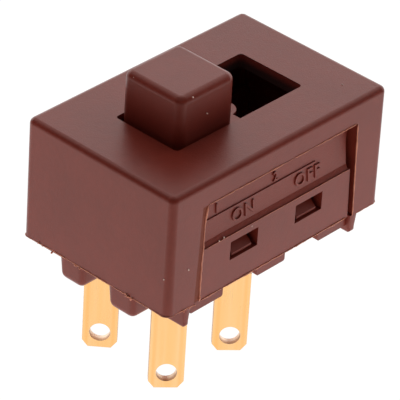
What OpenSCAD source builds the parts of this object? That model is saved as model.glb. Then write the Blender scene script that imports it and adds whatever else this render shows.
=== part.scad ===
// Double-pole slide switch with four twisted solder-lug terminals.
// The cover snaps over the base: a flap in each long wall has two windows that catch
// hooks on the base. The slider carries a square button on top and two sprung
// bridging strips below, which join the two fixed contacts of each pole.
// X is the direction of travel, Z is up, and the blade tips stand on z = 0.

/* [Body] */
// Length of the cover along the travel
body_l = 23.2; // [21.6:0.2:28]
// Width of the cover
body_w = 14.9; // [13.1:0.2:18.1]
// Height of the cover from its bottom edge to its top face
body_h = 10.4; // [9.2:0.2:12.6]
// Thickness of the cover's roof
roof_t = 1.2; // [1:0.1:1.5]
// Thickness of the cover's two long walls
side_wall = 1.5; // [1.3:0.1:1.8]
// Thickness of the cover's two end walls
end_wall = 1.2; // [1:0.1:1.5]
// Radius of the cover's outer edges
edge_r = 0.5; // [0.3:0.02:0.7]

/* [Snap flaps] */
// Width of the corner post beside a flap, at the flap's hinge
post_w = 3.3; // [2.8:0.1:3.8]
// Width of the slits beside a flap, at the cover's bottom edge
slit_w = 0.42; // [0.3:0.02:0.7]
// Radius of a flap's side edges
flap_r = 0.28; // [0.1:0.02:0.4]
// Height of the solid band above a flap
hinge_band = 2; // [1.6:0.1:2.6]
// Height of the ledge where a flap gets thin, above the cover's bottom edge
ledge_z = 4.45; // [4.2:0.05:5]
// Depth of the pocket above the ledge
pocket_d = 0.83; // [0.5:0.01:1]
// Width of a window
window_w = 2.98; // [2.6:0.02:3.8]
// Height of a window
window_h = 1.6; // [1.4:0.05:1.9]
// Height of a window's lower edge above the cover's bottom edge
window_z = 2.2; // [1.8:0.05:2.4]
// Distance between the two windows of a flap, centre to centre
window_pitch = 7.1; // [5:0.1:9]

/* [Button] */
// Travel of the slider, which is also the distance between the contacts of a pole
travel = 7; // [5.6:0.1:7.2]
// Side of the square button
button_s = 6; // [4.6:0.1:7]
// Height of the button above the cover's top face
button_h = 4.05; // [2.5:0.05:5]
// Radius of the button's upper edges
button_r = 0.58; // [0.3:0.02:0.7]
// Radius of the button's corners
button_corner = 0.75; // [0.75:0.05:1.2]
// Clearance between button and slot at each end of the travel
end_gap = 0.28; // [0.2:0.02:0.6]
// Clearance between button and slot along each side
side_gap = 0.13; // [0.1:0.01:0.4]

/* [Terminals] */
// Length of the blades below the cover's bottom edge
blade_drop = 10.3; // [8:0.1:13]
// Width of a blade
blade_w = 2.7; // [2.3:0.1:3.4]
// Thickness of the terminal strip
blade_t = 0.7; // [0.5:0.1:0.9]
// Distance between the two rows of blades
row_gap = 7; // [6.4:0.1:7.6]
// Diameter of the wire hole
wire_hole_d = 1.6; // [1.1:0.1:1.8]
// Height of the wire hole above the blade's tip
wire_hole_z = 1.4; // [1.3:0.05:2]
// Angle that the blades are twisted by under the base
blade_turn = 43; // [30:1:55]

/* [Base and contacts] */
// Thickness of the base's floor, with the set-back of its underside
floor_t = 1.8; // [1.5:0.1:2]
// Thickness of the base's walls
base_wall = 0.8; // [0.6:0.05:0.9]
// Distance between the contact lines of the two poles
pole_gap = 4.6; // [4.3:0.1:5]
// Outer diameter of the contact springs
spring_d = 2.1; // [1.7:0.1:2.2]
// Diameter of the spring wire
wire_d = 0.3; // [0.2:0.02:0.34]
// Number of turns in a spring
coils = 6; // [4:1:7]

/* [Hidden] */
$fn = 48;
eps = 0.01;
fit = 0.05;             // clearance between cover and base
run = 0.1;              // running clearance round the slider
slip = 0.02;            // clearance of a terminal in its slot
draft = 0.05;           // how much the cover grows towards its bottom, each side
corner_r = 0.5;         // inner corners of the cover, outer corners of the base

// heights
z0 = blade_drop;                       // cover's bottom edge
z_top = z0 + body_h;                   // cover's top face
z_roof = z_top - roof_t;               // underside of the roof
z_hinge = z_top - hinge_band;          // top of the flaps
z_floor = z0 + floor_t;
z_pad = z_floor + blade_t;             // top of a terminal's pad
dome_h = 0.45;
z_con = z_pad + dome_h;                // where fixed and moving contacts meet
z_ridge = z_con - 0.03;                // ridges that the moving tips ride over
tip_t = 0.4;
z_strip = z_con + slip + tip_t;        // underside of the bridging strip
strip_t = 0.6;
z_skirt = z_con + 0.25;                // underside of the slider
z_barrier = z_strip + strip_t + 0.4;   // top of the barrier between the poles
z_room = z_strip + strip_t + 1.4;      // roof of the strip's room in the slider
z_plate = z_roof - fit;                // top of the slider's carriage
plate_t = 1.5;
z_bore = z_plate - 0.95;               // closed end of the spring's bore
wall_h = 5;                            // the base's long walls, over z0
end_h = 3;                             // the base's end walls, over z0

// lengths and widths
half_l = body_l/2;
half_w = body_w/2;
in_l = half_l - end_wall;
in_w = half_w - side_wall;
base_x = in_l - fit;
base_y = in_w - fit;
row_y = row_gap/2;
con_y = pole_gap/2;
pad_in = con_y - 1.15;                 // inner end of a pad
rib_t = 0.7;                           // barrier between the poles
rib_x = blade_w/2 + 0.3;               // low ribs beside a pad, from its centre
ridge_x = blade_w/2 + 0.55;            // where a ridge starts, from a pad's centre
slot_l = travel + button_s + 2*end_gap;
slot_w = button_s + 2*side_gap;
slot_r = 0.3;

// snap flaps and hooks
flap_x = half_l - post_w;
slit_top = 0.12;                       // width of a slit at the flap's hinge
flap_step = 0.1;                       // set-back of the flap from the posts
hook_w = window_w - 0.86;
hook_out = half_w - flap_step - 0.22;  // how far out a hook reaches

// feet and bars under the base
foot_h = 1.68;
foot_y = [1.45, 3.75];                 // end feet, from the centre line
foot_x = [[1.85, 2.45], [3.1, 2.35]];  // corner feet, from the cover's left and right end
foot_in = 0.08;                        // set-back of the end feet from the cover's ends
bar_h = 1;
bar_y = half_w - 0.37;

// slider
strip_w = 2.4;
strip_x = travel/2 + 0.87;
room_x = strip_x + run;
room_w = strip_w + 0.14;
bore_d = spring_d + 0.2;
plate_x = room_x + 0.49;
plate_y = base_y - base_wall - run;
body_y = plate_y - 0.35;
tongue_r = 1.05;
tongue_out = 1.05;
stop_x = travel/2 + plate_x + tongue_out + fit;
rest_x = -travel/2;

plastic = [0.42, 0.13, 0.11];
brass = [0.86, 0.67, 0.32];
copper = [0.80, 0.50, 0.32];
silver = [0.82, 0.82, 0.80];
steel = [0.62, 0.63, 0.65];

// ---------- helpers ----------
// points along an arc
function arc(cx, cy, r, a0, a1, n = 6) =
  [for (i = [0:n]) [cx + r*cos(a0 + (a1 - a0)*i/n), cy + r*sin(a0 + (a1 - a0)*i/n)]];

// an X-Z outline made solid between two Y positions
module along_y(y0, y1) translate([0, y1, 0]) rotate([90, 0, 0]) linear_extrude(y1 - y0) children();

// a Y-Z outline made solid between two X positions
module along_x(x0, x1) translate([x0, 0, 0]) rotate([90, 0, 90]) linear_extrude(x1 - x0) children();

// an X-Y outline made solid between two heights
module upward(za, zb) translate([0, 0, za]) linear_extrude(zb - za) children();

module both_sides() { children(); mirror([0, 1, 0]) children(); }
module both_ends() { children(); mirror([1, 0, 0]) children(); }

module block(x0, x1, y0, y1, za, zb) translate([x0, y0, za]) cube([x1 - x0, y1 - y0, zb - za]);

// rectangle with rounded corners, centred
module round_rect(l, w, r)
  polygon(concat(arc(l/2 - r, w/2 - r, r, 0, 90), arc(-l/2 + r, w/2 - r, r, 90, 180),
    arc(-l/2 + r, -w/2 + r, r, 180, 270), arc(l/2 - r, -w/2 + r, r, 270, 360)));

// side view of a face with rounded top corners that widens downwards
module drafted(half_top, half_low, za, zb, r)
  polygon(concat([[-half_low, za], [half_low, za]],
    arc(half_top - r, zb - r, r, 0, 90), arc(-half_top + r, zb - r, r, 90, 180)));

// block with rounded corners and upper edges, whose sides widen downwards
module soft_block(l, w, grow, za, zb, corner, r) {
  along_x(-l/2 + corner, l/2 - corner) drafted(w/2, w/2 + grow, za, zb, r);
  along_y(-w/2 + corner, w/2 - corner) drafted(l/2, l/2 + grow, za, zb, r);
  for (x = [-1, 1]) for (y = [-1, 1]) translate([x*(l/2 - corner), y*(w/2 - corner), 0])
    rotate_extrude() polygon(concat([[0, za], [corner + grow, za]],
      arc(corner - r, zb - r, r, 0, 90), [[0, zb]]));
}

// ---------- cover ----------
module cover_block() soft_block(body_l, body_w, draft, z0, z_top, edge_r + 0.06, edge_r);

// what is cut from the front wall to make its snap flap
module flap_cuts() {
  y_out = -half_w - 1;
  // a slit at each side that opens downwards and frees the flap from its posts
  both_ends() along_y(y_out, -in_w + 1)
    polygon([[flap_x, z0 - 1], [flap_x + slit_w, z0 - 1], [flap_x + slit_w, z0],
      [flap_x + slit_top, z_hinge], [flap_x, z_hinge]]);
  // lower panel, set back a little from the posts, with rounded side edges
  block(-flap_x, flap_x, y_out, -half_w + flap_step, z0 - 1, z0 + ledge_z);
  both_ends() upward(z0 - 1, z0 + ledge_z)
    polygon(concat([[flap_x - flap_r, y_out], [flap_x + eps, y_out], [flap_x + eps, -half_w + flap_step + flap_r]],
      arc(flap_x - flap_r, -half_w + flap_step + flap_r, flap_r, 0, -90)));
  // pocket that thins the flap where it bends
  block(-flap_x - eps, flap_x + eps, y_out, -half_w + pocket_d, z0 + ledge_z, z_hinge);
  // windows for the hooks
  for (s = [-1, 1]) translate([s*window_pitch/2, 0, z0 + window_z])
    block(-window_w/2, window_w/2, y_out, -in_w + 1, 0, window_h);
  // lead-in along the flap's lower inside edge
  along_x(-flap_x - slit_w, flap_x + slit_w)
    polygon([[-in_w - 0.45, z0 - eps], [-in_w + 0.5, z0 - eps], [-in_w + 0.5, z0 + 0.7], [-in_w, z0 + 0.7]]);
}

module cover() color(plastic) {
  difference() {
    cover_block();
    upward(z0 - 1, z_roof) round_rect(2*in_l, 2*in_w, corner_r);
    // slot for the button
    upward(z_roof - 1, z_top + 1) round_rect(slot_l, slot_w, slot_r);
    both_sides() flap_cuts();
  }
  // raised rule across the pocket of each flap
  both_sides() block(-flap_x + 0.35, flap_x - 3.9, -half_w + pocket_d - 0.1, -half_w + pocket_d + 0.2,
    z0 + 6.42, z0 + 6.56);
  // rails under the roof that guide the carriage
  both_sides() block(-in_l + 0.4, in_l - 0.4, plate_y + run, in_w + 0.2, z_roof - plate_t, z_roof + 0.2);
  // ribs that stop the carriage at each end of its travel
  both_ends() block(stop_x, in_l + 0.2, -1, 1, z_roof - 2, z_roof + 0.2);
}

// ---------- base ----------
// tray with long walls, low end walls and full corners
module tray() difference() {
  upward(z0 + 0.1, z0 + wall_h) round_rect(2*base_x, 2*base_y, corner_r);
  block(-base_x + base_wall, base_x - base_wall, -base_y + base_wall, base_y - base_wall,
    z_floor, z0 + wall_h + 1);
  block(-base_x - 1, base_x + 1, -base_y + base_wall, base_y - base_wall, z0 + end_h, z0 + wall_h + 1);
  // lead-in along the outer top edges of the long walls
  both_sides() along_x(-base_x - 1, base_x + 1)
    polygon([[-base_y - 1, z0 + wall_h - 0.4], [-base_y, z0 + wall_h - 0.4],
      [-base_y + 0.3, z0 + wall_h + eps], [-base_y - 1, z0 + wall_h + eps]]);
}

// hook with a flat catching face below and its lead-in above
module hook() {
  zb = z0 + window_z + 0.08;
  inner = -base_y + 0.2;
  translate([window_pitch/2, 0, 0]) along_x(-hook_w/2, hook_w/2)
    polygon([[inner, zb], [-hook_out, zb], [-hook_out, zb + 0.22],
      [-base_y, zb + window_h - 0.25], [inner, zb + window_h - 0.25]]);
}

// end foot in the Y-Z plane, with its own radius at each lower corner
module foot_outline(y0, y1, r0, r1)
  polygon(concat([[y1, z0 + 0.5], [y0, z0 + 0.5]],
    arc(y0 + r0, z0 - foot_h + r0, r0, 180, 270), arc(y1 - r1, z0 - foot_h + r1, r1, 270, 360)));

// strip that ends in two rounded lower corners, seen from the front
module bar_outline(x0, x1, low, r)
  polygon(concat([[x1, z0 + 0.5], [x0, z0 + 0.5]], arc(x0 + r, low + r, r, 180, 270),
    arc(x1 - r, low + r, r, 270, 360)));

// feet under the end walls, whose ledges the cover stands on
module end_feet() both_ends() difference() {
  for (f = [[foot_y[0], foot_y[1], 0.32, 0.45], [-foot_y[1], -foot_y[0], 0.32, 0.9]]) intersection() {
    along_x(-half_l + foot_in, -base_x + base_wall) foot_outline(f[0], f[1], f[2], f[3]);
    along_y(f[0] - 1, f[1] + 1) bar_outline(-half_l + foot_in, -base_x + base_wall + 1, z0 - foot_h, 0.3);
    upward(z0 - foot_h - 1, z0 + 1) translate([-half_l + foot_in + 2, (f[0] + f[1])/2])
      round_rect(4, f[1] - f[0], 0.3);
  }
  block(-half_l - 1, -base_x, -half_w, half_w, z0, z0 + 1);
}

// corner feet, and bars under the flaps beside each row of blades
module side_feet() both_sides() {
  difference() {
    for (x = [-travel, 0, travel]) {
      w = x == 0 ? 3.12 : 3.5;
      along_y(-bar_y, -base_y + 0.9) bar_outline(x - w/2, x + w/2, z0 - bar_h, 0.18);
    }
    block(-half_l, half_l, -half_w - 1, -base_y, z0 - fit, z0 + 1);
  }
  for (x = [[-half_l + foot_x[0][0], -half_l + foot_x[0][1]], [half_l - foot_x[1][0], half_l - foot_x[1][1]]])
    difference() {
      intersection() {
        along_x(x[0], x[1])
          polygon(concat([[-base_y + 1.2, z0 + 0.5], [-half_w, z0 + 0.5]],
            arc(-half_w + 0.38, z0 - foot_h + 0.38, 0.38, 180, 270),
            arc(-base_y + 1.05, z0 - foot_h + 0.15, 0.15, 270, 360, 3)));
        along_y(-half_w - 1, -base_y + 2) bar_outline(x[0], x[1], z0 - foot_h, 0.25);
      }
      block(-half_l, half_l, -half_w - 1, -base_y, z0, z0 + 1);
    }
}

// what the floor carries on one side: pad ribs, ridges and an empty contact place
module floor_details() {
  for (x = [-travel, 0, travel]) for (s = [-1, 1]) translate([x + s*rib_x, 0, 0])
    block(-0.22, 0.22, rib_t/2 - eps, base_y - base_wall + eps, z_floor - eps, z_floor + 0.5);
  both_ends() along_y(con_y - 0.8, con_y + 0.8)
    polygon([[ridge_x, z_floor - eps], [travel - ridge_x, z_floor - eps], [travel - ridge_x, z_ridge - 0.25],
      [travel - ridge_x - 0.25, z_ridge], [ridge_x + 0.25, z_ridge], [ridge_x, z_ridge - 0.25]]);
  block(travel - 1.15, travel + 1.15, con_y - 0.95, con_y + 0.95, z_floor - eps, z_ridge);
}

module base() color(plastic) {
  difference() {
    union() {
      tray();
      both_ends() both_sides() hook();
      end_feet();
      side_feet();
      both_sides() floor_details();
      // barrier between the poles
      block(-travel - 1.6, travel + 1.6, -rib_t/2, rib_t/2, z_floor - eps, z_barrier);
    }
    both_sides() {
      // slots for the blades, wells for the rivets' closed heads
      for (x = [-travel, 0]) {
        block(x - blade_w/2 - slip, x + blade_w/2 + slip, row_y - blade_t/2 - slip,
          row_y + blade_t/2 + slip, z0 - 1, z_floor + 1);
        translate([x, con_y, z_floor - 0.35]) cylinder(d = 1.8, h = 1);
      }
      // blind pockets at the two unused places
      block(travel - blade_w/2, travel + blade_w/2, row_y - blade_t/2, row_y + blade_t/2, z0 - 1, z0 + 0.9);
    }
  }
}

// ---------- slider ----------
module button_block()
  soft_block(button_s - 0.08, button_s - 0.08, 0.04, z_plate - 0.3, z_top + button_h, button_corner, button_r);

module slider() color(plastic) translate([rest_x, 0, 0]) difference() {
  union() {
    button_block();
    // carriage plate with a round-ended tongue at each end
    block(-plate_x, plate_x, -plate_y, plate_y, z_plate - plate_t, z_plate);
    both_ends() intersection() {
      translate([plate_x + tongue_out - tongue_r, 0, z_plate - plate_t]) cylinder(r = tongue_r, h = plate_t);
      block(plate_x - 0.3, plate_x + 2, -2, 2, z_plate - 2, z_plate + 1);
    }
    // body that hangs between the base's walls
    block(-plate_x, plate_x, -body_y, body_y, z_skirt, z_plate - 0.5);
  }
  // slot over the barrier, and the coring of the button
  block(-plate_x - 1, plate_x + 1, -rib_t/2 - 0.15, rib_t/2 + 0.15, z_skirt - 1, z_barrier + 0.2);
  block(-button_s/2 + 0.8, button_s/2 - 0.8, -0.62, 0.62, z_skirt - 1, z_top + button_h*0.6);
  both_sides() {
    // room for the bridging strip, and the spring's bore above it
    block(-room_x, room_x, con_y - room_w/2, con_y + room_w/2, z_skirt - 1, z_room);
    translate([0, con_y, z_room - 1]) cylinder(d = bore_d, h = z_bore - z_room + 1);
    // the body's outer lower edges are chamfered to clear the pads' bends
    along_x(-plate_x - 1, plate_x + 1)
      polygon([[-body_y - 1, z_skirt - 1], [-body_y + 0.3, z_skirt - 1], [-body_y + 0.3, z_skirt],
        [-body_y, z_skirt + 0.3], [-body_y - 1, z_skirt + 0.3]]);
  }
}

// ---------- terminals ----------
// upper part: a neck through the floor, bent over into a flat pad
module pad_and_neck() difference() {
  along_x(-blade_w/2, blade_w/2)
    polygon(concat([[row_y - blade_t/2, z0 - 0.5], [row_y + blade_t/2, z0 - 0.5]],
      arc(row_y + blade_t/2 - blade_t, z_pad - blade_t, blade_t, 0, 90),
      [[pad_in, z_pad], [pad_in, z_floor], [row_y - blade_t/2, z_floor]]));
  translate([0, con_y, z_floor - 1]) cylinder(d = 0.97, h = 3);
}

// lower part: the blade with a chamfered tip and a wire hole
module blade(turn) translate([0, row_y, 0]) rotate([0, 0, turn]) along_y(-blade_t/2, blade_t/2)
  difference() {
    polygon([[-blade_w/2 + 0.46, 0], [blade_w/2 - 0.46, 0], [blade_w/2, 0.6], [blade_w/2, z0 - 3.1],
      [-blade_w/2, z0 - 3.1], [-blade_w/2, 0.6]]);
    translate([0, wire_hole_z]) circle(d = wire_hole_d);
  }

// the twist between the two, with straight ends that run into both
module twist(turn) {
  w = blade_w - 0.03;
  t = blade_t - 0.03;
  steps = 14;
  cells = 4;
  low = z0 - 3.1;
  high = z0 - 0.5;
  ring = concat([for (i = [0:cells]) [-w/2 + w*i/cells, -t/2]], [for (i = [0:cells]) [w/2 - w*i/cells, t/2]]);
  n = len(ring);
  levels = concat([[low - 0.3, 1]],
    [for (i = [0:steps]) let (s = i/steps) [low + (high - low)*s, 1 - s*s*(3 - 2*s)]], [[high + 0.3, 0]]);
  pts = [for (l = levels) for (p = ring) let (a = turn*l[1])
    [p[0]*cos(a) - p[1]*sin(a), row_y + p[0]*sin(a) + p[1]*cos(a), l[0]]];
  sides = [for (i = [0:len(levels) - 2]) for (k = [0:n - 1]) let (m = (k + 1) % n)
    each [[i*n + k, (i + 1)*n + k, (i + 1)*n + m], [i*n + k, (i + 1)*n + m, i*n + m]]];
  top = (len(levels) - 1)*n;
  caps = [for (k = [0:cells - 1]) let (a = k, b = k + 1, c = n - 2 - k, d = n - 1 - k)
    each [[a, b, c], [a, c, d], [top + c, top + b, top + a], [top + d, top + c, top + a]]];
  polyhedron(points = pts, faces = concat(sides, caps));
}

module terminal(turn) color(brass) {
  pad_and_neck();
  twist(turn);
  blade(turn);
}

module terminal_front_end() translate([-travel, 0, 0]) mirror([0, 1, 0]) terminal(blade_turn);
module terminal_front_common() mirror([0, 1, 0]) terminal(blade_turn);
module terminal_rear_end() translate([-travel, 0, 0]) terminal(-blade_turn - 7);
module terminal_rear_common() terminal(-blade_turn - 2);

// ---------- contacts ----------
// riveted contact with a domed head on top of the pad
module rivet() color(silver) translate([0, con_y, 0]) rotate_extrude()
  polygon(concat([[0, z_floor - 0.25], [0.6, z_floor - 0.25], [0.7, z_floor - 0.12], [0.7, z_floor],
    [0.45, z_floor], [0.45, z_pad], [0.9, z_pad], [0.9, z_pad + 0.12]],
    [for (i = [1:5]) [0.9*cos(i*15), z_pad + 0.12 + (dome_h - 0.12)*sin(i*15)]], [[0, z_con]]));

module rivet_front_end() translate([-travel, 0, 0]) mirror([0, 1, 0]) rivet();
module rivet_front_common() mirror([0, 1, 0]) rivet();
module rivet_rear_end() translate([-travel, 0, 0]) rivet();
module rivet_rear_common() rivet();

// flat-faced tip riveted into a bridging strip
module tip() color(silver) translate([0, con_y, 0]) rotate_extrude()
  polygon([[0, z_strip - tip_t], [0.75, z_strip - tip_t], [0.85, z_strip - tip_t + 0.1], [0.85, z_strip],
    [0.35, z_strip], [0.35, z_strip + strip_t], [0.5, z_strip + strip_t], [0.42, z_strip + strip_t + 0.16],
    [0, z_strip + strip_t + 0.16]]);

module tip_front_end() translate([rest_x - travel/2, 0, 0]) mirror([0, 1, 0]) tip();
module tip_front_common() translate([rest_x + travel/2, 0, 0]) mirror([0, 1, 0]) tip();
module tip_rear_end() translate([rest_x - travel/2, 0, 0]) tip();
module tip_rear_common() translate([rest_x + travel/2, 0, 0]) tip();

// bridging strip with raised ends and a stud that centres its spring
module bridge() color(copper) translate([rest_x, 0, 0]) difference() {
  z_up = z_strip + 0.2;
  union() {
    along_y(con_y - strip_w/2, con_y + strip_w/2)
      polygon([[-strip_x + 0.3, z_strip], [strip_x - 0.3, z_strip], [strip_x, z_up],
        [strip_x, z_up + strip_t], [strip_x - 0.1, z_up + strip_t], [strip_x - 0.35, z_strip + strip_t],
        [-strip_x + 0.35, z_strip + strip_t], [-strip_x + 0.1, z_up + strip_t],
        [-strip_x, z_up + strip_t], [-strip_x, z_up]]);
    translate([0, con_y, z_strip + strip_t - eps]) cylinder(d1 = 1.2, d2 = 0.8, h = 0.5);
  }
  for (s = [-1, 1]) translate([s*travel/2, con_y, z_strip - 1]) cylinder(d = 0.76, h = 3);
}

module bridge_front() mirror([0, 1, 0]) bridge();
module bridge_rear() bridge();

// ---------- springs ----------
// round wire swept along a helix whose end turns lie flat
module coil(radius, wire, za, zb, turns, steps = 18, sides = 8) {
  n = turns*steps;
  lead = wire*0.9;
  function height(t) = t < 1 ? lead*t : t > turns - 1 ? zb - za - wire - lead*(turns - t)
    : lead + (zb - za - wire - 2*lead)*(t - 1)/(turns - 2);
  pts = [for (i = [0:n]) let (t = i/steps, a = 360*t) for (k = [0:sides - 1])
    let (b = 360*k/sides, rr = radius + wire/2*cos(b))
      [rr*cos(a), rr*sin(a), za + wire/2 + height(t) + wire/2*sin(b)]];
  sweep = [for (i = [0:n - 1]) for (k = [0:sides - 1]) let (m = (k + 1) % sides)
    [i*sides + k, i*sides + m, (i + 1)*sides + m, (i + 1)*sides + k]];
  ends = [[for (k = [sides - 1:-1:0]) k], [for (k = [0:sides - 1]) n*sides + k]];
  polyhedron(points = pts, faces = concat(sweep, ends));
}

module spring() color(steel) translate([rest_x, con_y, 0])
  coil((spring_d - wire_d)/2, wire_d, z_strip + strip_t + eps, z_bore - eps, coils);

module spring_front() mirror([0, 1, 0]) spring();
module spring_rear() spring();

// ---------- build ----------
cover();
base();
slider();
terminal_front_end();
terminal_front_common();
terminal_rear_end();
terminal_rear_common();
rivet_front_end();
rivet_front_common();
rivet_rear_end();
rivet_rear_common();
bridge_front();
bridge_rear();
tip_front_end();
tip_front_common();
tip_rear_end();
tip_rear_common();
spring_front();
spring_rear();
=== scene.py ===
import math
import random

import bmesh
import bpy
from mathutils import Matrix, Vector, noise


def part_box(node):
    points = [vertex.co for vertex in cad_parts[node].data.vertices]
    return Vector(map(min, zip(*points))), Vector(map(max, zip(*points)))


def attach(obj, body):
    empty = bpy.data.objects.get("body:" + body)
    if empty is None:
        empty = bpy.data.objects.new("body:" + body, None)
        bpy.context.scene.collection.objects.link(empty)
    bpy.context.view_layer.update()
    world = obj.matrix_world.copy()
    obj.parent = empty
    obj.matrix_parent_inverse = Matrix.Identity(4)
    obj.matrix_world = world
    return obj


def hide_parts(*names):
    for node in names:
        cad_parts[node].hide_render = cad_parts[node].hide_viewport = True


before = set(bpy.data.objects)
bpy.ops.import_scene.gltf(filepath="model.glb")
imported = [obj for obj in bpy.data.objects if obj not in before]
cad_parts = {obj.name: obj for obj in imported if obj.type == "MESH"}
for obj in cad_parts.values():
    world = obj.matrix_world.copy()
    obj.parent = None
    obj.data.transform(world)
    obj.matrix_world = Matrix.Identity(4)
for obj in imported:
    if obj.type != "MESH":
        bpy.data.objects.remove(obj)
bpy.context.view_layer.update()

MM = 0.001


def box_mm(node):
    """A CAD node's lowest and highest corners in mm, rounded to a tenth of a micrometre."""
    return [[round(c / MM, 4) for c in corner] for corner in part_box(node)]


# ---------------------------------------------------------------- sizes, mm
(_, _, LEDGE_Z), (WALL_X, WALL_Y, TOP_Z) = box_mm("cover")      # its lower edge, walls and top face
(_, _, FOOT_Z), (FOOT_X, FOOT_Y, _) = box_mm("base")            # its feet's lower ends and outer faces
SLOT_X, SLOT_Y = 6.78, 3.13     # half the slot's length and width
FLAP_X = 8.3                    # half a flap's width
SLIT_W = 0.42                   # width of the slit beside a flap, at the cover's lower edge
STEP_Z = LEDGE_Z + 4.45         # where a flap's lower panel ends and its pocket starts
HINGE_Z = TOP_Z - 2.0           # top of the pocket, where the flap bends
BLADE_TOP = 7.3                 # a lug is a flat blade below this, and twisted above
PAD_LOW, PAD_SLOPE = 15.16, 0.11    # lower end of the sloping face in a pocket, and its slope
BUTTON_X = 3.5                  # how far from the middle the button stands at each end of its travel
WORD_Z, WORD_H = 15.94, 1.1     # height of the words in a pocket, and their letters' size
NUMBER_Z, NUMBER_H = 17.38, 0.78    # the same for the numbers
ENDS = (1, -1)                  # the cover looks the same after half a turn about Z
LUG_PLACES = ("front_end", "front_common", "rear_end", "rear_common")


def clamp(share):
    """The number itself, or the nearer of 0 and 1 outside them."""
    return min(1.0, max(0.0, share))


# ---------------------------------------------------------------- shader maths
class Level:
    """A number that varies over a surface, with the usual operators."""

    def __init__(self, finish, socket):
        self.finish = finish
        self.socket = socket

    def _math(self, operation, *values):
        made = self.finish.node("ShaderNodeMath", {"operation": operation}, dict(enumerate(values)))
        return Level(self.finish, made.outputs[0])

    def __add__(self, other): return self._math("ADD", self, other)
    def __radd__(self, other): return self._math("ADD", other, self)
    def __sub__(self, other): return self._math("SUBTRACT", self, other)
    def __rsub__(self, other): return self._math("SUBTRACT", other, self)
    def __mul__(self, other): return self._math("MULTIPLY", self, other)
    def __rmul__(self, other): return self._math("MULTIPLY", other, self)
    def __truediv__(self, other): return self._math("DIVIDE", self, other)
    def __rtruediv__(self, other): return self._math("DIVIDE", other, self)
    def __pow__(self, other): return self._math("POWER", self, other)
    def __rpow__(self, other): return self._math("POWER", other, self)
    def __lt__(self, other): return self._math("LESS_THAN", self, other)
    def __gt__(self, other): return self._math("GREATER_THAN", self, other)
    def __neg__(self): return self * -1
    def __abs__(self): return self._math("ABSOLUTE", self)

    def least(self, other):
        return self._math("MINIMUM", self, other)

    def between(self, low, high):
        """0 below low, 1 above high, smooth in between."""
        made = self.finish.node("ShaderNodeMapRange", {"interpolation_type": "SMOOTHSTEP"},
                                {"Value": self, "From Min": low, "From Max": high})
        return Level(self.finish, made.outputs["Result"])


class Finish:
    """A node tree under construction, for a material or the world."""

    def __init__(self, tree):
        self.tree = tree
        tree.nodes.clear()

    def node(self, kind, settings=None, sockets=None):
        """Adds a node. Each socket gets a link from a Level or a socket, or else a constant."""
        made = self.tree.nodes.new(kind)
        for key, setting in (settings or {}).items():
            setattr(made, key, setting)
        for key, given in (sockets or {}).items():
            socket = made.inputs[key]
            given = getattr(given, "socket", given)
            if isinstance(given, bpy.types.NodeSocket):
                self.tree.links.new(given, socket)
            elif isinstance(given, tuple) and len(given) == 3 and socket.type == "RGBA":
                socket.default_value = (*given, 1.0)
            else:
                socket.default_value = given
        return made

    def level(self, socket):
        return Level(self, socket)

    def place(self):
        """Position on the piece, in metres in the part's own frame."""
        return self.node("ShaderNodeTexCoord").outputs["Object"]

    def axes(self, where):
        """The three numbers of a position or a direction."""
        split = self.node("ShaderNodeSeparateXYZ", None, {0: where})
        return [self.level(socket) for socket in split.outputs]

    def painted(self, name):
        """A number that the mesh carries at its corners."""
        return self.level(self.node("ShaderNodeAttribute", {"attribute_name": name}).outputs["Fac"])

    def stretched(self, where, scale):
        """The position multiplied along each axis."""
        made = self.node("ShaderNodeVectorMath", {"operation": "MULTIPLY"}, {0: where, 1: scale})
        return made.outputs["Vector"]

    def cloud(self, where, size_mm, detail=2.0, rough=0.5):
        """Soft noise from 0 to 1 whose lumps are about size_mm across."""
        made = self.node("ShaderNodeTexNoise", None, {"Vector": where, "Scale": 1.0 / (size_mm * MM),
                                                      "Detail": detail, "Roughness": rough})
        return self.level(made.outputs[0])

    def specks(self, where, spacing_mm, radius, share):
        """Sparse round dots: 1 inside a dot. share is how many cells hold one."""
        cells = self.node("ShaderNodeTexVoronoi", {"feature": "F1"},
                          {"Vector": where, "Scale": 1.0 / (spacing_mm * MM)})
        pick = self.node("ShaderNodeSeparateColor", None, {"Color": cells.outputs["Color"]})
        chosen = self.level(pick.outputs[0]) < share
        size = self.level(pick.outputs[1]) * radius + radius * 0.3
        return chosen * (self.level(cells.outputs["Distance"]) < size)

    def mix(self, factor, first, second):
        """A colour between two colours."""
        made = self.node("ShaderNodeMix", {"data_type": "RGBA"},
                         {"Factor": factor, 6: first, 7: second})
        return made.outputs[2]

    def bump(self, height, distance_mm):
        """A normal from a height that varies from 0 to 1 over distance_mm."""
        made = self.node("ShaderNodeBump", None, {"Height": height, "Distance": distance_mm * MM})
        return made.outputs["Normal"]

    def surface(self, sockets):
        """Ends a material in one Principled shader."""
        self.output(self.node("ShaderNodeBsdfPrincipled", None, sockets))

    def output(self, shader):
        self.node("ShaderNodeOutputMaterial", None, {"Surface": shader.outputs[0]})


def material(name):
    made = bpy.data.materials.new(name)
    made.use_nodes = True
    return made, Finish(made.node_tree)


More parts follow.
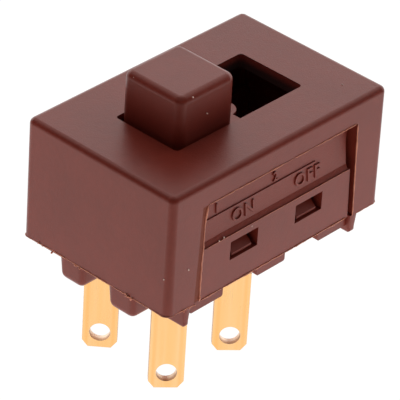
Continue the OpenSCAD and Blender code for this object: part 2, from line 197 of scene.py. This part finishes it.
# ---------------------------------------------------------------- finishes
RED_BROWN = (0.172, 0.0222, 0.0132)     # the moulding
TONE_SPREAD = 0.21                      # how far its colour strays, as a share
GRAIN_MM, LUMP_MM, PATCH_MM = 0.11, 0.5, 5.0    # spacing of its grain, lumps and patches of tone
MOTE_TONE = (0.55, 0.42, 0.38)          # dust caught in its grain
# Painted light high up on the slot walls and painted shade lower down, in place of the light and shade in
# the slot.
WALL_PAINTED_LIGHT, WELL_PAINTED_SHADE = (0.34, 0.06, 0.042), (0.06, 0.034, 0.032)   # slot walls, high up and low down
STRIP_TONES = (1.0, 0.575, 0.235), (1.0, 0.62, 0.295)      # bands in the rolled brass
LINE_TONE, MARGIN_TONE = (0.95, 0.50, 0.17), (0.97, 0.47, 0.13)    # rolling lines, a blade's margins
PUNCHED_TONE, TORN_TONE = (0.97, 0.78, 0.61), (0.55, 0.30, 0.15)   # a punched face, rear and front


def tinted(colour, share):
    """A lighter or darker colour of the same hue."""
    return tuple(c * share for c in colour)


def slot_painted_light_and_shade(f, where, body):
    """Painted light and shade on the walls of the cover's slot: lighter than the moulding near the top, then
    fading to near black with depth, where shade falls.
    """
    x, y, z = f.axes(where)
    rim = 0.05
    within = (abs(x) < (SLOT_X + rim) * MM) * (abs(y) < (SLOT_Y + rim) * MM)
    wall = 1 - z.between((TOP_Z - 0.09) * MM, (TOP_Z - 0.04) * MM)
    sunk = 1 - z.between((TOP_Z - 0.85) * MM, (TOP_Z - 0.06) * MM)
    return f.mix(within * wall, body, f.mix(sunk, WALL_PAINTED_LIGHT, WELL_PAINTED_SHADE))


def moulding_finish(name, colour, grain=1.0, dust=1.0, sheen=1.0, slot=False):
    """Moulded plastic with a fine spark-eroded grain, an uneven tone, pale motes and a satin gloss.

    grain scales the relief, dust the number of motes and sheen the gloss. With slot, painted light and shade
    cover the walls of the cover's slot: lighter near the top, darkening down to near black.
    """
    made, f = material(name)
    where = f.place()
    fine = f.cloud(where, GRAIN_MM, rough=0.6)
    lumps = f.cloud(where, LUMP_MM, detail=3.0)
    patches = f.cloud(where, PATCH_MM)
    shade = (patches - 0.5) * 0.5 + (lumps - 0.5) * 0.35 + (fine - 0.5) * 0.25 + 0.5
    body = f.mix(shade.between(0.1, 0.9), tinted(colour, 1 - TONE_SPREAD), tinted(colour, 1 + TONE_SPREAD))
    motes = (f.specks(where, 1.6, 0.035, 0.16 * dust) + f.specks(where, 3.4, 0.022, 0.3 * dust)).least(1.0)
    body = f.mix(motes * 0.55, body, MOTE_TONE)
    # painted light and shade down the slot walls
    if slot:
        body = slot_painted_light_and_shade(f, where, body)
    rough = 0.33 + (lumps - 0.5) * 0.08 + (fine - 0.5) * 0.06 + motes * 0.2
    relief = f.bump(fine * 0.7 + lumps * 0.3, 0.02 * grain)
    f.surface({"Base Color": body, "Roughness": rough, "Normal": relief, "IOR": 1.58,
               "Specular IOR Level": 0.5 * sheen, "Specular Tint": (1.0, 0.60, 0.54)})
    return made


def brass_finish(name):
    """Bright rolled strip with lengthwise bands and lines, and duller punched edges."""
    made, f = material(name)
    where = f.place()
    lines = f.cloud(f.stretched(where, (1.0, 1.0, 0.03)), 0.07, rough=0.6)
    bands = f.cloud(f.stretched(where, (1.0, 1.0, 0.05)), 0.75, rough=0.45)
    stain = f.cloud(where, 2.6)
    cut = f.painted("cut")
    aside = abs(f.painted("sideways"))
    margin = aside.between(0.75, 1.0) * (1 - aside.between(1.05, 1.25))
    punched = cut.between(0.02, 0.12)
    body = f.mix(bands.between(0.3, 0.7), *STRIP_TONES)
    body = f.mix(lines.between(0.55, 0.8) * 0.25, body, LINE_TONE)
    body = f.mix(margin * 0.4, body, MARGIN_TONE)
    body = f.mix(punched, body, PUNCHED_TONE)
    body = f.mix(cut.between(0.35, 0.85) * 0.92, body, TORN_TONE)
    rough = 0.25 + (stain - 0.5) * 0.1 + (lines - 0.5) * 0.1 + punched * 0.3
    f.surface({"Base Color": body, "Metallic": 1.0, "Roughness": rough,
               "Normal": f.bump(lines * 0.7 + bands * 0.3, 0.004)})
    return made


def metal_finish(name, light, dark, rough_level, stain_mm):
    """Plain metal with a slight stain and fine marks."""
    made, f = material(name)
    where = f.place()
    stain = f.cloud(where, stain_mm, detail=3.0, rough=0.6)
    fine = f.cloud(where, 0.08, rough=0.6)
    body = f.mix(stain.between(0.3, 0.75), light, dark)
    rough = rough_level + (stain - 0.5) * 0.15 + (fine - 0.5) * 0.08
    f.surface({"Base Color": body, "Metallic": 1.0, "Roughness": rough, "Normal": f.bump(fine, 0.004)})
    return made


def dust_finish(name, colour):
    """Dull mineral dust, a little uneven."""
    made, f = material(name)
    grit = f.cloud(f.place(), 0.05, rough=0.6)
    f.surface({"Base Color": f.mix(grit, tinted(colour, 0.75), colour), "Roughness": 0.7 + grit * 0.2,
               "Normal": f.bump(grit, 0.01)})
    return made


# The cover carries painted light and shade on its slot walls.
cover_plastic = moulding_finish("cover_moulding", RED_BROWN, dust=0.7, slot=True)
web_plastic = moulding_finish("web_moulding", (0.185, 0.046, 0.028), dust=0.0, sheen=0.1)
# The moulding painted a little lighter for the recessed pockets: painted light against the shade in them.
lightened_pocket_plastic = moulding_finish("pocket_moulding_painted_light", (0.192, 0.0258, 0.0155), grain=1.8, dust=0.0, sheen=1.1)
# A colour about three times lighter than the moulding: partly real flash, partly painted highlight along the
# edges where its beads run.
flash_and_highlight_plastic = moulding_finish("flash_moulding_painted_highlight", (0.50, 0.168, 0.098), grain=1.5, dust=0.0)
base_plastic = moulding_finish("base_moulding", tinted(RED_BROWN, 0.97), grain=0.7, dust=0.5)
slider_plastic = moulding_finish("slider_moulding", RED_BROWN, grain=0.8)
fleck_dust = dust_finish("pale_dust", (1.0, 0.74, 0.64))
lug_brass = brass_finish("lug_brass")
contact_silver = metal_finish("contact_silver", (0.84, 0.83, 0.80), (0.62, 0.60, 0.56), 0.25, 0.4)
bridge_copper = metal_finish("bridge_copper", (0.85, 0.52, 0.34), (0.62, 0.33, 0.20), 0.3, 0.8)
spring_steel = metal_finish("spring_steel", (0.62, 0.63, 0.65), (0.45, 0.46, 0.48), 0.28, 0.5)


# ---------------------------------------------------------------- pieces made from CAD nodes
def flat_areas(mesh):
    """Gives each face the index of the flat area that it belongs to, and each area its size."""
    faces = mesh.polygons
    owner = list(range(len(faces)))

    def find(i):
        while owner[i] != i:
            owner[i] = owner[owner[i]]
            i = owner[i]
        return i

    by_edge = {}
    for face in faces:
        for key in face.edge_keys:
            by_edge.setdefault(key, []).append(face.index)
    same = math.cos(math.radians(0.4))      # faces within this angle lie in one plane
    for pair in by_edge.values():
        if len(pair) == 2 and faces[pair[0]].normal.dot(faces[pair[1]].normal) > same:
            owner[find(pair[0])] = find(pair[1])
    group = [find(face.index) for face in faces]
    area = {}
    for face in faces:
        area[group[face.index]] = area.get(group[face.index], 0.0) + face.area / MM ** 2
    return group, area


def settle_shading(mesh):
    """Smooth shading in which a flat area keeps its own direction up to its border."""
    group, area = flat_areas(mesh)
    around = {}
    for face in mesh.polygons:
        for vertex in face.vertices:
            around.setdefault(vertex, {})[group[face.index]] = face.normal.copy()
    limit = math.cos(math.radians(50.0))    # a sharper edge than this stays sharp
    normals = []
    for face in mesh.polygons:
        face.use_smooth = True
        for vertex in face.vertices:
            total = Vector((0.0, 0.0, 0.0))
            for index, normal in around[vertex].items():
                if normal.dot(face.normal) > limit:
                    total += normal * area[index] ** 2
            normals.append(tuple(total.normalized() if total.length > 0 else face.normal))
    mesh.normals_split_custom_set(normals)


def mark_cut_edges(mesh):
    """Marks a lug for its finish: "cut" rises over its punched faces from the rear to the torn front,
    and "sideways" is the distance in mm from the blade's middle line."""
    points = [vertex.co for vertex in mesh.vertices]

    def top(face):
        return max(points[v].z for v in face.vertices) / MM

    flat = max((f for f in mesh.polygons if top(f) < BLADE_TOP), key=lambda f: f.area).normal.copy()
    if flat.y > 0:
        flat.negate()
    sideways = flat.cross(Vector((0, 0, 1))).normalized()
    low = [co for co in points if co.z < (BLADE_TOP - 1.3) * MM]      # well below the twist
    rear, front = (pick(co.dot(flat) for co in low) for pick in (min, max))
    middle = sum(pick(co.dot(sideways) for co in low) for pick in (min, max)) / 2
    cut, aside = [], []
    for face in mesh.polygons:
        blade = top(face) < BLADE_TOP + 0.1
        across = min(1.0, (1.0 - abs(face.normal.dot(flat))) * 1.8)
        for co in (points[v] for v in face.vertices):
            depth = clamp((co.dot(flat) - rear) / (front - rear))
            cut.append(across * (0.15 + 0.85 * depth ** 1.5) if blade else 0.0)
            aside.append((co.dot(sideways) - middle) / MM if blade else 0.0)
    for name, values in (("cut", cut), ("sideways", aside)):
        mesh.attributes.new(name, "FLOAT", "CORNER").data.foreach_set("value", values)


class Foot:
    """A foot of the base, which stands at one wall and spans low to high along it. Millimetres."""

    def __init__(self, out, side, face, low, high, radius):
        self.out, self.along = out, 1 - out     # the axes outwards and along the wall
        self.side, self.face = side, face       # which of the two walls, and its outer face
        self.low, self.high, self.radius = low, high, radius

    def spans(self, co, depth):
        """Whether a point is between the foot's ends and less than depth behind its outer face."""
        return (self.low - 0.02 <= co[self.along] / MM <= self.high + 0.02
                and self.side * co[self.out] / MM > self.face - depth)

    def holds(self, co):
        return self.spans(co, 2.2) and co.z / MM < LEDGE_Z - 0.3

    def cut(self, work):
        """Cuts the foot's faces at steps from its edges, so that there is something to round."""
        for step in (0.1, 0.22, 0.38, 0.56):
            for axis, where in ((self.along, self.low + step), (self.along, self.high - step),
                                (self.out, self.side * (self.face - step)), (2, FOOT_Z + step)):
                if axis == self.along and not self.low < where < self.high:
                    continue
                faces = [f for f in work.faces if any(self.holds(v.co) for v in f.verts)
                         and all(self.spans(v.co, 2.4) and v.co.z / MM < LEDGE_Z + 0.01 for v in f.verts)]
                edges = dict.fromkeys(e for f in faces for e in f.edges)
                corners = dict.fromkeys(v for f in faces for v in f.verts)
                point, direction = Vector((0, 0, 0)), Vector((0, 0, 0))
                point[axis], direction[axis] = where * MM, 1.0
                bmesh.ops.bisect_plane(work, geom=[*faces, *edges, *corners], dist=1e-7,
                                       plane_co=point, plane_no=direction)

    def round_off(self, work):
        """Draws what stands outside the rounded form back onto it."""
        for co in (v.co for v in work.verts if self.holds(v.co)):
            p = (co[self.out] * self.side / MM, co[self.along] / MM, co.z / MM)
            q = (min(p[0], self.face - self.radius),
                 max(self.low + self.radius, min(self.high - self.radius, p[1])),
                 max(p[2], FOOT_Z + self.radius))
            far = math.dist(p, q)
            if far > self.radius:
                p = [j + (i - j) * self.radius / far for i, j in zip(p, q)]
                co[self.out], co[self.along], co.z = p[0] * self.side * MM, p[1] * MM, p[2] * MM


def shape_feet(work):
    """Gives the base's feet well-rounded lower corners, and makes the end feet deeper and wider."""
    end_feet = ((1.45, 3.75), (-3.75, -1.45))               # along Y, at both ends
    corner_feet = {1: (8.5, 9.25), -1: (-9.75, -9.15)}      # along X, at each end
    for end in ENDS:
        feet = [Foot(0, end, FOOT_X, low, high, 0.55) for low, high in end_feet]
        feet += [Foot(1, wall, FOOT_Y, *corner_feet[end], 0.29) for wall in ENDS]
        for foot in feet:
            foot.cut(work)
            foot.round_off(work)
    deeper = 1.16
    stretches = (((1.43, 3.77), (1.25, 3.75)), ((-3.77, -1.43), (-4.03, -1.28)))    # from, to
    for vertex in work.verts:
        x, y, z = (c / MM for c in vertex.co)
        if abs(x) < FOOT_X - 2.25 or z > LEDGE_Z + 0.01:
            continue
        flip = 1 if x < 0 else -1
        for (low, high), (new_low, new_high) in stretches:
            if low <= y * flip <= high:
                share = (y * flip - low) / (high - low)
                vertex.co.y = flip * (new_low + share * (new_high - new_low)) * MM
                vertex.co.z = (LEDGE_Z - max(0.0, LEDGE_Z - z) * deeper) * MM
                break


def rim_lift(x, y):
    """How far the cover's lower edge stands up, in mm, towards two of its corners."""
    if x > 0:
        x, y = -x, -y
    return 0.16 * clamp((7.3 - y) / 3.0) * clamp((-x - 8.0) / 2.0)


def free_flaps(work):
    """Widens the slits beside the cover's flaps, squares the flaps' edges and lifts the lower edge."""
    slit_edge = FLAP_X + SLIT_W
    for vertex in work.verts:
        x, y, z = (c / MM for c in vertex.co)
        flip = 1 if y < 0 else -1
        if z < LEDGE_Z + 0.05:
            vertex.co.z += rim_lift(x, y) * MM
        if abs(x * flip + slit_edge) < 0.03 and z < LEDGE_Z + 0.2:
            vertex.co.x = math.copysign(slit_edge + 0.14, x) * MM
        if FLAP_X - 0.3 < abs(x) < FLAP_X + 0.01 and z < STEP_Z + 0.01 and abs(y) > 5.0:
            if x * flip < 0:
                gap = 0.2       # the flap's left side, seen from outside
            else:
                gap = 0.22 if z > STEP_Z - 0.75 else 0.03
            vertex.co.x = math.copysign(FLAP_X - gap, x) * MM
            if abs(y) > 7.0:
                vertex.co.y = math.copysign(WALL_Y - 0.15, y) * MM


def placed(mesh, body, finish):
    """Puts a mesh into the scene as a piece that rides on a body."""
    mesh.materials.append(finish)
    piece = bpy.data.objects.new(mesh.name, mesh)
    bpy.context.scene.collection.objects.link(piece)
    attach(piece, body)
    return piece


def softened(node, name, body, finish, radius_mm, reshape=None):
    """Replaces a CAD node by a copy whose sharp edges get a small moulded or stamped radius."""
    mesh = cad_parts[node].data.copy()
    mesh.name = name
    work = bmesh.new()
    work.from_mesh(mesh)
    bmesh.ops.remove_doubles(work, verts=work.verts, dist=2e-6)
    bmesh.ops.dissolve_limit(work, angle_limit=math.radians(0.6), verts=work.verts, edges=work.edges,
                             use_dissolve_boundaries=False)
    bmesh.ops.connect_verts_concave(work, faces=[f for f in work.faces if len(f.verts) > 4])
    if reshape:
        reshape(work)
        bmesh.ops.remove_doubles(work, verts=work.verts, dist=2e-6)
    sharp = [e for e in work.edges if len(e.link_faces) == 2 and e.calc_face_angle(0.0) > math.radians(28)]
    bmesh.ops.bevel(work, geom=sharp, offset=radius_mm * MM, offset_type="OFFSET", segments=2,
                    profile=0.5, affect="EDGES", clamp_overlap=True, miter_outer="ARC")
    work.to_mesh(mesh)
    work.free()
    mesh.materials.clear()
    settle_shading(mesh)
    piece = placed(mesh, body, finish)
    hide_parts(node)
    return mesh


def refinish(node, finish):
    """A CAD node that keeps its shape and gets its material."""
    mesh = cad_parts[node].data
    mesh.materials.clear()
    mesh.materials.append(finish)


softened("cover", "cover_shell", "housing", cover_plastic, 0.05, free_flaps)
softened("base", "base_tray", "housing", base_plastic, 0.04, shape_feet)
softened("slider", "slider_button", "slider", slider_plastic, 0.05)
for place in LUG_PLACES:
    lug = softened("terminal_" + place, "lug_" + place, "housing", lug_brass, 0.08)
    mark_cut_edges(lug)
    refinish("rivet_" + place, contact_silver)
    refinish("tip_" + place, contact_silver)
for pole in ("front", "rear"):
    refinish("bridge_" + pole, bridge_copper)
    refinish("spring_" + pole, spring_steel)


# ---------------------------------------------------------------- flash and painted edge highlights, webs and marks
def turned(points, flip):
    """The same points on the rear side, where flip is -1."""
    return [(flip * x, flip * y, z) for x, y, z in points]


def built(work, name, body, finish, smooth=True):
    """Turns a bmesh into a moulded piece."""
    bmesh.ops.recalc_face_normals(work, faces=work.faces)
    mesh = bpy.data.meshes.new(name)
    work.to_mesh(mesh)
    work.free()
    for face in mesh.polygons:
        face.use_smooth = smooth
    placed(mesh, body, finish)


def loft(work, rings):
    """Joins rings of points, in mm, into a closed solid."""
    rings = [[work.verts.new(Vector(p) * MM) for p in ring] for ring in rings]
    for low, high in zip(rings, rings[1:]):
        for j in range(len(low)):
            k = (j + 1) % len(low)
            work.faces.new((low[j], low[k], high[k], high[j]))
    work.faces.new(rings[0][::-1])
    work.faces.new(rings[-1])


def bead(work, points, radius, unevenness, seed):
    """Adds an uneven ridge with tapered ends along a line of points. Millimetres."""
    line = [Vector(p) for p in points]
    lengths = [(b - a).length for a, b in zip(line, line[1:])]
    total = sum(lengths)
    step, sides, taper_length = 0.12, 6, 0.5
    count = max(4, int(total / step))
    turns = [2 * math.pi * j / sides for j in range(sides)]
    rings = []
    for i in range(count + 1):
        along = total * i / count
        k, rest = 0, along
        while k < len(lengths) - 1 and rest > lengths[k]:
            rest -= lengths[k]
            k += 1
        heading = (line[k + 1] - line[k]).normalized()
        slow = noise.noise(Vector((along * 0.7, seed * 3.1, 0.0)))
        quick = noise.noise(Vector((along * 3.0, seed * 5.7, 4.0)))
        drift = noise.noise(Vector((along * 1.6, seed * 7.3, 9.0)))
        taper = min(1.0, 0.2 + min(along, total - along) / taper_length)
        size = radius * max(0.3, 0.85 + unevenness * (slow + 0.7 * quick)) * taper
        across = heading.cross(Vector((0.31, 0.17, 0.93))).normalized()
        other = heading.cross(across)
        middle = line[k] + heading * rest + (across + other) * drift * radius * 0.35
        rings.append([middle + (across * math.cos(t) + other * math.sin(t)) * size for t in turns])
    loft(work, rings)


def crumb(work, place, size, seed):
    """A small rough lump. Millimetres."""
    rng = random.Random(seed)
    made = bmesh.ops.create_icosphere(work, subdivisions=1, radius=1.0)
    spin = Matrix.Rotation(rng.uniform(0, 6.28), 3, Vector((rng.random(), rng.random(), 1)).normalized())
    for vertex in made["verts"]:
        uneven = Vector([c * s * rng.uniform(0.75, 1.15) for c, s in zip(vertex.co, size)])
        vertex.co = (Vector(place) + spin @ uneven) * MM


def flash_and_highlight_lines():
    """Where the light beads stand on the front half, as flash and as painted highlights along edges: points,
    radius and unevenness of each bead.
    """
    low, front, end, flap = LEDGE_Z + 0.02, -WALL_Y, WALL_X, FLAP_X
    free_side = [(0.15 - flap, front + 0.12, low), (0.16 - flap, front + 0.12, STEP_Z - 1.35),
                 (0.22 - flap, front + 0.1, STEP_Z + 0.45), (0.21 - flap, front + 0.08, HINGE_Z - 1.7),
                 (0.29 - flap, front + 0.06, HINGE_Z - 0.7), (0.4 - flap, front + 0.04, HINGE_Z)]
    hinge = [(0.4 - flap, front + 0.03, HINGE_Z + 0.02), (flap + 0.06, front + 0.03, HINGE_Z + 0.02)]
    slit_side = [(flap + 0.09, front + 0.02, HINGE_Z), (flap + 0.38, front - 0.01, low)]
    flap_foot = [(0.3 - flap, front + 0.13, low), (flap - 0.1, front + 0.13, low)]
    step = [(0.3 - flap, front + 0.14, STEP_Z + 0.005), (flap - 0.25, front + 0.14, STEP_Z + 0.005)]
    right_rim = [(flap + 0.44, front, low), (end - 0.55, front, low), (end - 0.23, front + 0.08, low),
                 (end - 0.05, front + 0.3, low), (end, front + 0.6, low)]
    left_rim = [(-end, -front - 0.3, low), (-end, 4.4, low), (-end, front + 0.55, low),
                (0.05 - end, front + 0.28, low), (0.23 - end, front + 0.08, low), (0.55 - end, front, low),
                (-10.0, front, low), (-flap - 0.42, front, low)]
    foot_top = [(-FOOT_X - 0.01, 3.6, LEDGE_Z - 0.02), (-FOOT_X - 0.01, 1.4, LEDGE_Z - 0.02)]
    return [(free_side, 0.08, 0.6), (hinge, 0.05, 0.8), (slit_side, 0.058, 0.6), (flap_foot, 0.058, 0.7),
            (step, 0.026, 0.4), (right_rim, 0.045, 0.6), (left_rim, 0.05, 0.8), (foot_top, 0.05, 0.7)]


def flash_and_highlight_beads():
    """Thin light ridges along the cover's parting lines and edges, partly flash and partly painted
    highlight, with torn crumbs along its lower edge.
    """
    # place and size of each crumb
    crumbs = [((-11.7, -3.62, 10.46), (0.08, 0.42, 0.09)), ((-11.7, -3.9, 10.38), (0.08, 0.24, 0.09)),
              ((-11.67, -3.3, 10.56), (0.06, 0.16, 0.07)), ((-11.66, 1.9, 10.36), (0.05, 0.2, 0.08)),
              ((-11.66, 1.45, 10.33), (0.05, 0.14, 0.07)), ((-11.67, 5.75, 10.5), (0.04, 0.1, 0.16)),
              ((-11.67, 5.35, 10.38), (0.05, 0.16, 0.07)), ((-11.66, 4.35, 10.28), (0.06, 0.16, 0.09)),
              ((-9.9, -7.5, 10.36), (0.24, 0.05, 0.07)), ((-8.12, -7.4, 10.62), (0.12, 0.07, 0.26)),
              ((-9.3, -7.5, 10.33), (0.16, 0.05, 0.07)), ((-8.75, -7.48, 10.36), (0.12, 0.06, 0.08))]
    work = bmesh.new()
    for flip in ENDS:
        seed = 3 if flip > 0 else 11
        for i, (points, radius, unevenness) in enumerate(flash_and_highlight_lines()):
            points = [(x, y, z + (rim_lift(x, y) if z < LEDGE_Z + 0.2 else 0.0)) for x, y, z in points]
            bead(work, turned(points, flip), radius, unevenness, seed + i * 1.7)
        for i, (place, size) in enumerate(crumbs):
            crumb(work, turned([place], flip)[0], size, seed * 100 + i)
    built(work, "flash_and_highlight_beads", "housing", flash_and_highlight_plastic)


def pad_y(z):
    """How far out the sloping face of a pocket stands at a height, mm."""
    return -7.05 + (z - PAD_LOW) * PAD_SLOPE


def pocket_details():
    """The pockets' sloping faces with their rule, the lips beside them and the webs in the slits."""
    lip = [(-8.09, 14.72), (-8.0, 14.72), (-8.0, 17.0), (-7.93, 18.0), (-7.82, 18.72), (-7.98, 18.72),
           (-8.06, 18.0), (-8.12, 17.0)]
    web = [(-8.06, 10.42), (-8.02, 17.0), (-7.88, 18.68), (-8.44, 18.7), (-8.5, 17.6), (-8.7, 14.8),
           (-8.92, 10.42)]
    behind, top = -6.5, HINGE_Z + 0.04
    pad = [(behind, 14.7), (-7.3, 14.73), (pad_y(PAD_LOW), PAD_LOW), (pad_y(top), top), (behind, top)]
    rule_low, rule_high, proud = 16.72, 16.86, 0.09
    rule = [(pad_y(rule_low) + 0.1, rule_low), (pad_y(rule_low) - proud, rule_low),
            (pad_y(rule_high) - proud, rule_high), (pad_y(rule_high) + 0.1, rule_high)]
    pads, slits = bmesh.new(), bmesh.new()
    for flip in ENDS:
        loft(pads, [turned([(x, y, z) for x, z in lip], flip) for y in (0.1 - WALL_Y, 0.95 - WALL_Y)])
        face = [(x, -7.43 + (HINGE_Z - z) * 0.008, z) for x, z in web]
        loft(slits, [turned(face, flip), turned([(x, -6.6, z) for x, z in web], flip)])
        for profile, left, right in ((pad, -FLAP_X, 7.9), (rule, -8.03, 4.4)):
            loft(pads, [turned([(x, y, z) for y, z in profile], flip) for x in (left, right)])
    # The pads and lips take the pocket moulding, with its painted light.
    built(pads, "pocket_pads", "housing", lightened_pocket_plastic, smooth=False)
    built(slits, "slit_webs", "housing", web_plastic, smooth=False)


def raised_marks():
    """Plain marks in relief in the pockets: the button's two positions, and numbers."""
    words = (("ON", -BUTTON_X), ("OFF", BUTTON_X))
    numbers = (("1", -6.3, 1), ("2", 0.0, 1), ("3", 6.3, -1), ("4", 0.0, -1))
    rows = [(word, x, WORD_Z, WORD_H, side) for side in ENDS for word, x in words]
    rows += [(number, x, NUMBER_Z, NUMBER_H, side) for number, x, side in numbers]
    work = bmesh.new()
    for i, (mark, x, z, height, side) in enumerate(rows):
        curve = bpy.data.curves.new(f"mark_{i}", "FONT")
        curve.body = mark
        curve.align_x = "CENTER"
        curve.align_y = "CENTER"
        curve.size = height * 1.35 * MM
        curve.space_character = 1.15
        curve.extrude = 0.09 * MM
        curve.bevel_depth = 0.02 * MM
        curve.bevel_resolution = 1
        curve.resolution_u = 4
        holder = bpy.data.objects.new(f"mark_{i}", curve)
        bpy.context.scene.collection.objects.link(holder)
        bpy.context.view_layer.update()
        mesh = bpy.data.meshes.new_from_object(holder.evaluated_get(bpy.context.evaluated_depsgraph_get()))
        stand = Matrix.Rotation(math.radians(90) - math.atan(PAD_SLOPE), 4, "X")
        if side < 0:
            stand = Matrix.Rotation(math.pi, 4, "Z") @ stand
        mesh.transform(Matrix.Translation(Vector((x, pad_y(z) * side, z)) * MM) @ stand)
        work.from_mesh(mesh)
        bpy.data.objects.remove(holder)
        bpy.data.curves.remove(curve)
        bpy.data.meshes.remove(mesh)
    # The marks take the pocket moulding, with its painted light.
    built(work, "raised_marks", "housing", lightened_pocket_plastic, smooth=False)


def flecks():
    """A few crumbs of pale dust on the cover and the button: place and size."""
    spots = {"housing": [(-9.66, -7.49, 13.92, 0.1), (-11.64, -6.95, 13.7, 0.065), (-5.78, -7.3, 14.84, 0.1),
                         (-6.31, -7.32, 14.8, 0.085), (9.14, -5.04, 20.71, 0.07), (9.4, 7.47, 15.2, 0.04),
                         (11.63, 2.2, 16.4, 0.04), (-3.1, 7.3, 14.8, 0.045)],
             "slider": [(-5.2, -2.95, 24.6, 0.08), (-3.65, -3.04, 22.6, 0.08), (-1.6, 2.99, 23.4, 0.04),
                        (-6.35, 1.9, 24.5, 0.035)]}
    for body, places in spots.items():
        work = bmesh.new()
        for i, (x, y, z, size) in enumerate(places):
            crumb(work, (x, y, z), (size, size * 0.8, size * 0.7), 40 + i)
        built(work, "dust_on_" + body, body, fleck_dust)


flash_and_highlight_beads()
pocket_details()
raised_marks()
flecks()


# ---------------------------------------------------------------- stage
AWAY = (0.75, 0.66)     # the way over the table from the camera to the part
CAMERA_PLACE = (-157.72, -138.737, 151.696)     # mm
CAMERA_ANGLES = (-48.5925, 33.648, 3.6158)      # compass angle, height angle and tilt, degrees
LENS_MM = 301.12


def awayness(x, y):
    """How far a place or direction lies away from the camera, -1 to 1, and its level distance."""
    span = (x * x + y * y) ** 0.5
    return (x * AWAY[0] + y * AWAY[1]) / (span + 0.001), span


def table_top():
    """A table that is plain white to the camera and throws a softer, uneven light on the part."""
    reach = 1.5
    mesh = bpy.data.meshes.new("table_top")
    mesh.from_pydata([(-reach, -reach, 0), (reach, -reach, 0), (reach, reach, 0), (-reach, reach, 0)],
                     [], [(0, 1, 2, 3)])
    plane = bpy.data.objects.new("table_top", mesh)
    bpy.context.scene.collection.objects.link(plane)
    made, f = material("table_white")
    path = f.node("ShaderNodeLightPath")
    camera, glossy, through = (f.level(path.outputs[f"Is {kind} Ray"])
                               for kind in ("Camera", "Glossy", "Transmission"))
    seen = (camera + glossy + through).least(1.0)
    x, y, _ = f.axes(f.place())
    away, span = awayness(x, y)
    near_side = (-away).between(0.35, 1.0) * span.between(0.022, 0.04)
    bounce = (1.48 - span.between(0.07, 0.19) * 1.35) * (1 - near_side * 0.4)
    mirrored = 1 - near_side * 0.5 - span.between(0.04, 0.13) * 0.25
    plain = f.node("ShaderNodeBsdfDiffuse", None, {"Color": (0.86, 0.86, 0.86)})
    lit = f.node("ShaderNodeEmission", None, {"Color": (1.0, 0.97, 0.93), "Strength": bounce})
    table = f.node("ShaderNodeAddShader", None, {0: plain.outputs[0], 1: lit.outputs[0]})
    glow = f.node("ShaderNodeEmission", None, {"Color": (1.0, 1.0, 1.0),
                                               "Strength": camera + mirrored * (1 - camera)})
    f.output(f.node("ShaderNodeMixShader", None, {0: seen * 0.96, 1: table.outputs[0], 2: glow.outputs[0]}))
    mesh.materials.append(made)


def surroundings():
    """Soft light from low on the far side and from a dimmer ceiling, plain white to the camera."""
    world = bpy.data.worlds.new("studio")
    bpy.context.scene.world = world
    world.use_nodes = True
    f = Finish(world.node_tree)
    x, y, z = f.axes(f.node("ShaderNodeTexCoord").outputs["Generated"])
    away, _ = awayness(x, y)
    horizon = 1 - z.between(0.02, 0.4)
    wall = away.between(0.0, 0.85) * (horizon * 0.62 + 1.44) + 0.02
    ceiling = away.between(-0.6, 1.0) * 0.56 + 0.35
    overhead = z.between(0.5, 0.95)
    lit = wall * (1 - overhead) + ceiling * overhead
    seen = f.level(f.node("ShaderNodeLightPath").outputs["Is Camera Ray"])
    back = f.node("ShaderNodeBackground", None, {"Color": (1.0, 1.0, 1.0),
                                                 "Strength": lit * (1 - seen) + seen})
    f.node("ShaderNodeOutputWorld", None, {"Surface": back.outputs[0]})


def overhead_lamp():
    """A large faint lamp above, which the gloss doesn't show."""
    light = bpy.data.lights.new("overhead", "AREA")
    light.shape = "RECTANGLE"
    light.size = light.size_y = 300 * MM
    light.energy = 0.15
    lamp = bpy.data.objects.new("overhead", light)
    bpy.context.scene.collection.objects.link(lamp)
    place, aim = Vector((30, 30, 420)), Vector((0, 0, 10))
    lamp.location = place * MM
    lamp.rotation_euler = (aim - place).to_track_quat("-Z", "Y").to_euler()
    lamp.visible_glossy = False


def viewpoint():
    """The camera, which looks along its angles from its place."""
    azimuth, elevation, roll = (math.radians(angle) for angle in CAMERA_ANGLES)
    back = Vector((math.sin(azimuth) * math.cos(elevation), -math.cos(azimuth) * math.cos(elevation),
                   math.sin(elevation)))
    level = Vector((math.cos(azimuth), math.sin(azimuth), 0.0))
    upright = back.cross(level)
    right = level * math.cos(roll) + upright * math.sin(roll)
    up = upright * math.cos(roll) - level * math.sin(roll)
    lens = bpy.data.cameras.new("viewpoint")
    lens.sensor_width = 36.0
    lens.lens = LENS_MM
    lens.clip_start = 0.01
    lens.clip_end = 10.0
    camera = bpy.data.objects.new("viewpoint", lens)
    bpy.context.scene.collection.objects.link(camera)
    turn = Matrix((right, up, back)).transposed().to_4x4()
    turn.translation = Vector(CAMERA_PLACE) * MM
    camera.matrix_world = turn
    bpy.context.scene.camera = camera


table_top()
surroundings()
overhead_lamp()
viewpoint()
bpy.context.scene.view_settings.view_transform = "Standard"
